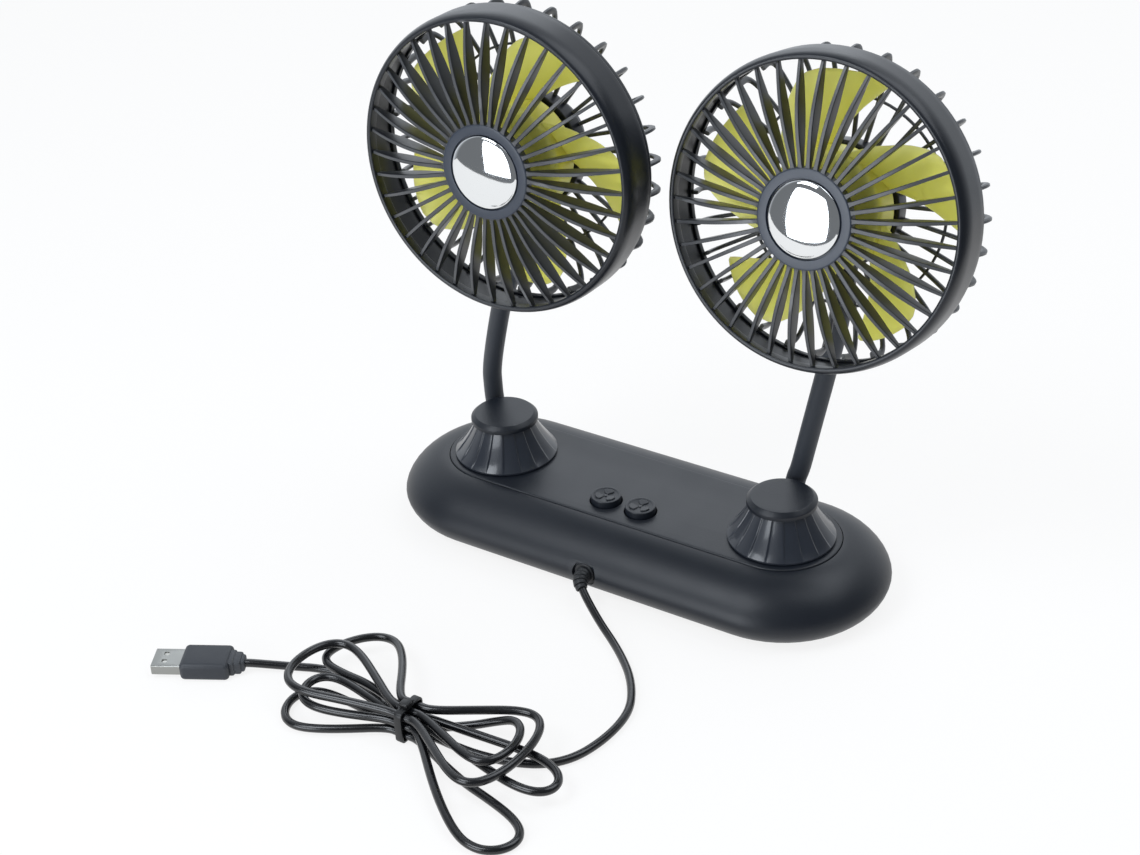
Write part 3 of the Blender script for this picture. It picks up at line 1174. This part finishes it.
def fin_rings(head):
    """One fin from the hub disc to the ring, bowed forward and flared where it meets the disc."""
    start, end, root_lift = head.disc_radius - 0.0008, head.ring_radius - head.ring_wall + 0.0008, 0.0006
    shares = [0.009 * step for step in range(9)] + [0.072 + 0.058 * step for step in range(1, 17)]
    rings = []
    for share in shares:
        radius = start + (end - start) * share
        swell = math.sin(math.pi * share)
        front = head.fin_front - head.fin_drop * share + head.fin_bow * swell
        front += root_lift * max(0.0, 1 - share / 0.15) ** 2
        back = front - head.fin_depth - head.fin_belly * swell ** 1.2
        half = head.fin_half * (1.5 - 0.4 * share)
        half += (math.pi * start / head.fins - half) * max(0.0, 1 - share / 0.062) ** 2
        edge = [(half, front - 0.0006), (half * 0.95, front - 0.0002), (half * 0.75, front)]
        edge += [(-across, up) for across, up in reversed(edge)]
        edge += [(-half * 0.6, back + 0.0003), (0, back), (half * 0.6, back + 0.0003)]
        rings.append([Vector((radius, across, up)) for across, up in edge])
    return rings


def dome_section(head, seat):
    """The plated dome from its crown to its flat back, which lies in the hub disc's seat."""
    rim = head.disc_front - 0.0002
    turns = [math.pi / 2 * index / 14 for index in range(15)]
    dome = [(head.dome_radius * math.sin(turn), rim + (head.dome_rise + 0.0002) * math.cos(turn))
            for turn in turns]
    return dome + [(head.dome_radius, seat + SEAT_GAP), (0, seat + SEAT_GAP)]


class FAN_OT_front_grilles(Operator):
    """Builds each front grille: rounded ring, deep fins, hub disc and plated dome"""
    bl_idname = "fan.front_grilles"
    bl_label = "Front grilles"

    def execute(self, context):
        head = context.scene.fan_head
        for side in SIDES:
            place, body, node = head_place(side), f"{side}_head", f"head_{side}_front_grille"
            bm = bmesh.new()
            turned(bm, ring_section(head), 128, True, place)
            make_piece(f"{side}_front_ring", bm, finish(context, "grille"), body, "grille_plastic", node)
            bm = bmesh.new()
            skin(bm, fin_rings(head))
            mesh, made = spun(context, bm, head.fins, 0.0, "grille", place, "fin")
            make_piece(f"{side}_front_fins", mesh, made, body, "grille_plastic", node)
            front, radius, bore = head.disc_front, head.disc_radius, head.dome_radius + 0.0006
            seat, back = front - 0.0012, front - head.disc_thickness
            bm = bmesh.new()
            turned(bm, eased([(0, seat), (bore, seat), (bore, front, 0.0002), (radius, front, 0.0007),
                              (radius, back, 0.0005), (0, back)]), 96, place=place)
            make_piece(f"{side}_hub_disc", bm, finish(context, "disc"), body, "grille_plastic", node)
            bm = bmesh.new()
            turned(bm, dome_section(head, seat), 96, place=place)
            make_piece(f"{side}_dome", bm, finish(context, "chrome"), body, "cap_chrome",
                       f"head_{side}_hub_cap", sharp=60)
        return {"FINISHED"}


def rib_line(head):
    """A rib's outer line from the cage's hub round its hook to the rim, as (radius, height)."""
    inner, hook = head.cage_hub - 0.0013, head.ring_radius - 0.0001
    deep, shallow = head.cage_depth, head.ring_depth + SEAT_GAP + 0.0014
    knots = [Vector((inner + (hook - inner) * out, -deep + (deep - shallow) * rise, 0))
             for out, rise in ((0, .02), (.45, .035), (.78, .085), (.94, .22), (.995, .45), (.99, .70),
                               (.962, 1))]
    return [(point.x, point.y) for point in even_points(rounded(knots, 3), 0.0019)]


def rib_rings(head):
    """One rib along its line, stouter towards its hook."""
    line = rib_line(head)
    # Section: shares of the half width and of the thickness
    outline = ((-0.55, 0.0), (0.55, 0.0), (1, 0.22), (1, 0.8), (0.6, 1), (-0.6, 1), (-1, 0.8), (-1, 0.22))
    rings = []
    for index, (radius, height) in enumerate(line):
        (r0, z0), (r1, z1) = line[max(index - 1, 0)], line[min(index + 1, len(line) - 1)]
        stout = 1 + 0.5 * ease((index / (len(line) - 1) - 0.55) / 0.35)
        inward = Vector((z0 - z1, 0, r1 - r0)).normalized() * head.rib_thickness * stout
        rings.append([Vector((radius, head.rib_half * across, height)) + inward * share
                      for across, share in outline])
    return rings


class FAN_OT_rear_cages(Operator):
    """Builds each rear cage: rim, hooked ribs, hoop and hub"""
    bl_idname = "fan.rear_cages"
    bl_label = "Rear cages"

    def execute(self, context):
        head = context.scene.fan_head
        for side in SIDES:
            place, body, node = head_place(side), f"{side}_head", f"head_{side}_rear_cage"
            top, deep = -head.ring_depth - SEAT_GAP, -head.cage_depth
            inner, outer, under = head.ring_radius - 0.0022, head.ring_radius - 0.0007, top - 0.0028
            bm = bmesh.new()
            turned(bm, eased([(inner, top, 0.0002), (outer, top, 0.0002), (outer, under, 0.0008),
                              (inner, under, 0.0008)], True), 128, True, place)
            level, half = deep + head.rib_thickness, 0.0006
            turned(bm, eased([(head.hoop_radius - half, level - half, 0.0003),
                              (head.hoop_radius + half, level - half, 0.0003),
                              (head.hoop_radius + half * 0.7, level + half, 0.0003),
                              (head.hoop_radius - half * 0.7, level + half, 0.0003)], True), 96, True, place)
            front, hub = deep + head.cage_hub_depth, head.cage_hub
            section = [(0, front), (hub, front, 0.0005), (hub, deep + 0.0001, 0.0012)]
            # Two fine grooves round the hub's back
            for radius in (0.0222, 0.0200):
                section += [(radius + 0.0004, deep + 0.0001), (radius, deep + 0.0006),
                            (radius - 0.0004, deep + 0.0001)]
            turned(bm, eased(section + [(0, deep)]), 96, place=place)
            make_piece(f"{side}_cage_rim_and_hub", bm, finish(context, "grille"), body, "grille_plastic",
                       node)
            bm = bmesh.new()
            skin(bm, rib_rings(head))
            mesh, made = spun(context, bm, head.ribs, math.pi / head.ribs, "grille", place, "rib")
            make_piece(f"{side}_cage_ribs", mesh, made, body, "grille_plastic", node, sharp=55)
        return {"FINISHED"}


def blade_rings(head):
    """One cambered blade with thinned edges, as rings of points from its root to its tip."""
    pitch = 2 * math.pi / head.blades
    root = head.rotor_hub - 0.0009
    shares = numpy.concatenate([numpy.linspace(0, 0.86, 12), (0.90, 0.935, 0.96, 0.98, 0.993, 1.0)])
    around = numpy.linspace(0, 1, 15)
    rings = []
    for share in shares:
        lead, trail = (numpy.interp(share, BLADE_SHARES, edge) for edge in (BLADE_LEAD, BLADE_TRAIL))
        radius = root + (head.rotor_radius - root) * share
        thin = head.blade_thickness / 2 * (1 - 0.55 * share)
        thin *= 1 - max(0.0, (share - 0.93) / 0.07) ** 3 * 0.75
        upper, lower = [], []
        for chord in around:
            turn = pitch * (lead + (trail - lead) * chord)
            height = head.blade_rise * chord + head.blade_camber * math.sin(math.pi * chord)
            height -= head.rotor_front + head.blade_back
            thickness = thin * (1 - abs(2 * chord - 1) ** 6 * 0.8)
            flat = Vector((radius * math.cos(turn), radius * math.sin(turn), height))
            lean = Vector((math.sin(turn), -math.cos(turn), 0)) * 0.35 + Vector((0, 0, 0.94))
            upper.append(flat + lean * thickness)
            lower.append(flat - lean * thickness)
        rings.append(upper + lower[::-1])
    return rings


class FAN_OT_rotors(Operator):
    """Builds each rotor, a rounded hub with cambered blades, and gives its shaft its finish"""
    bl_idname = "fan.rotors"
    bl_label = "Rotors"

    def execute(self, context):
        head = context.scene.fan_head
        for side in SIDES:
            place = head_place(side) @ Matrix.Rotation(math.radians(ROTOR_STARTS[side]), 4, "Z")
            body, node = f"{side}_rotor", f"head_{side}_rotor"
            front, hub = -head.rotor_front, head.rotor_hub
            wall, boss, shaft = 0.0017, 0.0035, 0.0013
            back, ceiling, bore = front - head.rotor_depth, front - wall, hub - wall
            bm = bmesh.new()
            turned(bm, eased([(0, front - 0.0004), (0.0050, front - 0.0004, 0.0004), (0.0056, front, 0.0004),
                              (hub, front, 0.0024), (hub, back, 0.0004), (bore, back, 0.0004),
                              (bore, ceiling, 0.001), (boss, ceiling), (boss, ceiling - boss),
                              (shaft, ceiling - boss), (shaft, ceiling), (0, ceiling)]), 96, place=place)
            make_piece(f"{side}_rotor_hub", bm, finish(context, "rotor"), body, "rotor_plastic", node)
            bm = bmesh.new()
            skin(bm, blade_rings(head))
            mesh, made = spun(context, bm, head.blades, 0.0, "rotor", place, "blade")
            make_piece(f"{side}_rotor_blades", mesh, made, body, "rotor_plastic", node, sharp=60)
            dress(finish(context, "steel"), f"head_{side}_motor_shaft")
        return {"FINISHED"}


class FAN_OT_motors(Operator):
    """Builds each motor's rounded cover with its neck boss, and gives the motor's can its finish"""
    bl_idname = "fan.motors"
    bl_label = "Motors and covers"

    def execute(self, context):
        head = context.scene.fan_head
        for side in SIDES:
            place, body = head_place(side), f"{side}_head"
            top = -head.cage_depth - SEAT_GAP
            low, radius = top - head.cover_depth, head.cover_radius
            bm = bmesh.new()
            # The cover's back has one shallow groove round its middle
            turned(bm, eased([(0, top), (radius, top, 0.0003), (radius, low, 0.0045), (0.0090, low, 0.0004),
                              (0.0086, low + 0.0005, 0.0002), (0.0080, low + 0.0005, 0.0002),
                              (0.0076, low, 0.0004), (0, low)], steps=8), 96, place=place)
            neck = place @ Matrix.Translation((0, 0, -boss_depth(head)))
            neck @= Matrix.Rotation(math.pi / 2, 4, "X")
            reach, boss = head.boss_reach, head.boss_radius
            mouth = context.scene.fan_turret.neck_radius + SEAT_GAP
            turned(bm, eased([(0, 0), (boss, 0), (boss, reach - 0.0001, 0.0009), (mouth, reach, 0.0001),
                              (mouth, reach - 0.0008), (0, reach - 0.0008)]), 48, place=neck)
            make_piece(f"{side}_motor_cover", bm, finish(context, "housing"), body, "shell_plastic",
                       f"head_{side}_motor_cover")
            dress(finish(context, "steel"), f"head_{side}_motor_can")
        return {"FINISHED"}


# Stage

def either(tree, first, second):
    """The larger of two shares, which is one where either is."""
    return add(tree, "ShaderNodeMath", {0: first, 1: second}, operation="MAXIMUM").outputs[0]


def both(tree, first, second):
    """The product of two shares, which is one where both are."""
    return add(tree, "ShaderNodeMath", {0: first, 1: second}, operation="MULTIPLY").outputs[0]


def paper_material():
    """Seamless white paper, matt, lit to white where the camera or a mirror sees it. Past its table it lets
    mirrors and lamps see through, so that the domes mirror a table's edge and not an endless floor."""
    paper = bpy.data.materials.new("Paper white")
    paper.use_nodes = True
    tree = paper.node_tree
    tree.nodes.clear()
    rays = add(tree, "ShaderNodeLightPath").outputs
    seen = either(tree, rays["Is Camera Ray"], rays["Is Glossy Ray"])
    seen = either(tree, seen, rays["Is Transmission Ray"])
    share = both(tree, seen, PAPER_GLOW)
    place = add(tree, "ShaderNodeTexCoord").outputs["Object"]
    across = add(tree, "ShaderNodeSeparateXYZ", {0: place}).outputs
    in_x, in_y = (
        add(tree, "ShaderNodeMath", {0: across[axis], 1: middle, 2: half}, operation="COMPARE").outputs[0]
        for axis, (middle, half) in enumerate((TABLE_X, TABLE_Y)))
    past = add(tree, "ShaderNodeMath", {0: 1.0, 1: both(tree, in_x, in_y)}, operation="SUBTRACT").outputs[0]
    clear = both(tree, past, either(tree, rays["Is Glossy Ray"], rays["Is Shadow Ray"]))
    matt = add(tree, "ShaderNodeBsdfDiffuse", {"Color": (0.95, 0.95, 0.95, 1)})
    glow = add(tree, "ShaderNodeEmission", {"Color": (1, 1, 1, 1), "Strength": 1.0})
    mixed = add(tree, "ShaderNodeMixShader", {0: share, 1: matt.outputs[0], 2: glow.outputs[0]})
    ended = add(tree, "ShaderNodeMixShader", {0: clear, 1: mixed.outputs[0],
                                              2: add(tree, "ShaderNodeBsdfTransparent").outputs[0]})
    add(tree, "ShaderNodeOutputMaterial", {"Surface": ended.outputs[0]})
    return paper


def daylight_world(sky):
    """White where the camera sees it. Its light is even, and mirrors find it brighter behind the fan."""
    world = bpy.data.worlds.new("studio")
    world.use_nodes = True
    tree = world.node_tree
    tree.nodes.clear()
    rays = add(tree, "ShaderNodeLightPath").outputs
    seen = either(tree, rays["Is Camera Ray"], rays["Is Transmission Ray"])
    way = add(tree, "ShaderNodeTexCoord").outputs["Generated"]
    behind = add(tree, "ShaderNodeVectorMath", {0: way, 1: (-0.56, 0.83, 0.0)}, operation="DOT_PRODUCT")
    mirrored = add(tree, "ShaderNodeMapRange", {"Value": behind.outputs["Value"], "From Min": 0.0,
                                                "From Max": 0.6, "To Min": 0.20, "To Max": 1.1})
    walls = add(tree, "ShaderNodeMapRange", {"Value": rays["Is Glossy Ray"], "To Min": sky,
                                             "To Max": mirrored.outputs[0]})
    strength = add(tree, "ShaderNodeMapRange", {"Value": seen, "To Min": walls.outputs[0], "To Max": 1.0})
    tint = add(tree, "ShaderNodeMix", {0: seen, 6: (*COOL, 1), 7: (1, 1, 1, 1)}, data_type="RGBA")
    light = add(tree, "ShaderNodeBackground", {"Color": tint.outputs[2], "Strength": strength.outputs[0]})
    add(tree, "ShaderNodeOutputWorld", {"Surface": light.outputs[0]})
    return world


class FAN_OT_stage(Operator):
    """Lays the white floor and hangs the soft lamps"""
    bl_idname = "fan.stage"
    bl_label = "Floor and lamps"

    def execute(self, context):
        studio = context.scene.fan_studio
        size, low = 4.0, CAD_BOX[0][2] - 0.0001
        mesh = bpy.data.meshes.new("floor")
        mesh.from_pydata([(x * size, y * size, low) for x, y in ((-1, -1), (1, -1), (1, 1), (-1, 1))], [],
                         [(0, 1, 2, 3)])
        mesh.materials.append(paper_material())
        linked("floor", mesh)
        context.scene.world = daylight_world(studio.sky)
        for name, (place, width, height) in LAMPS.items():
            data = bpy.data.lights.new(f"{name}_lamp", "AREA")
            data.shape, data.size, data.size_y = "RECTANGLE", width, height
            data.energy, data.color = getattr(studio, name), COOL
            lamp = linked(f"{name}_lamp", data)
            place = Vector(place)
            turn = (place - STAGE_MIDDLE).to_track_quat("Z", "Y").to_matrix().to_4x4()
            lamp.matrix_world = Matrix.Translation(place) @ turn
        context.scene.view_settings.view_transform = "Standard"
        return {"FINISHED"}


STEPS = (FAN_OT_camera, FAN_OT_cord, FAN_OT_housing, FAN_OT_grommet, FAN_OT_screws, FAN_OT_buttons,
         FAN_OT_turrets, FAN_OT_necks, FAN_OT_front_grilles, FAN_OT_rear_cages, FAN_OT_rotors, FAN_OT_motors,
         FAN_OT_stage)


class FAN_PT_sidebar(Panel):
    """Lists the fan's steps, sizes and colours"""
    bl_idname = "FAN_PT_sidebar"
    bl_label = "Car fan"
    bl_space_type = "VIEW_3D"
    bl_region_type = "UI"
    bl_category = "Car fan"

    def draw(self, context):
        for step in STEPS:
            self.layout.operator(step.bl_idname)
        for group, kind in GROUPS.items():
            box = self.layout.box()
            for name in kind.__annotations__:
                box.prop(getattr(context.scene, group), name)


def register():
    for kind in (*GROUPS.values(), *STEPS, FAN_PT_sidebar):
        bpy.utils.register_class(kind)
    for group, kind in GROUPS.items():
        setattr(bpy.types.Scene, group, PointerProperty(type=kind))


def unregister():
    for group in GROUPS:
        delattr(bpy.types.Scene, group)
    for kind in (FAN_PT_sidebar, *reversed(STEPS), *reversed(GROUPS.values())):
        bpy.utils.unregister_class(kind)


def main():
    register()
    for thing in [thing for thing in bpy.data.objects if thing.type in {"CAMERA", "LIGHT"}]:
        bpy.data.objects.remove(thing)
    for step in STEPS:
        group, name = step.bl_idname.split(".")
        getattr(getattr(bpy.ops, group), name)()


if __name__ == "__main__":
    main()
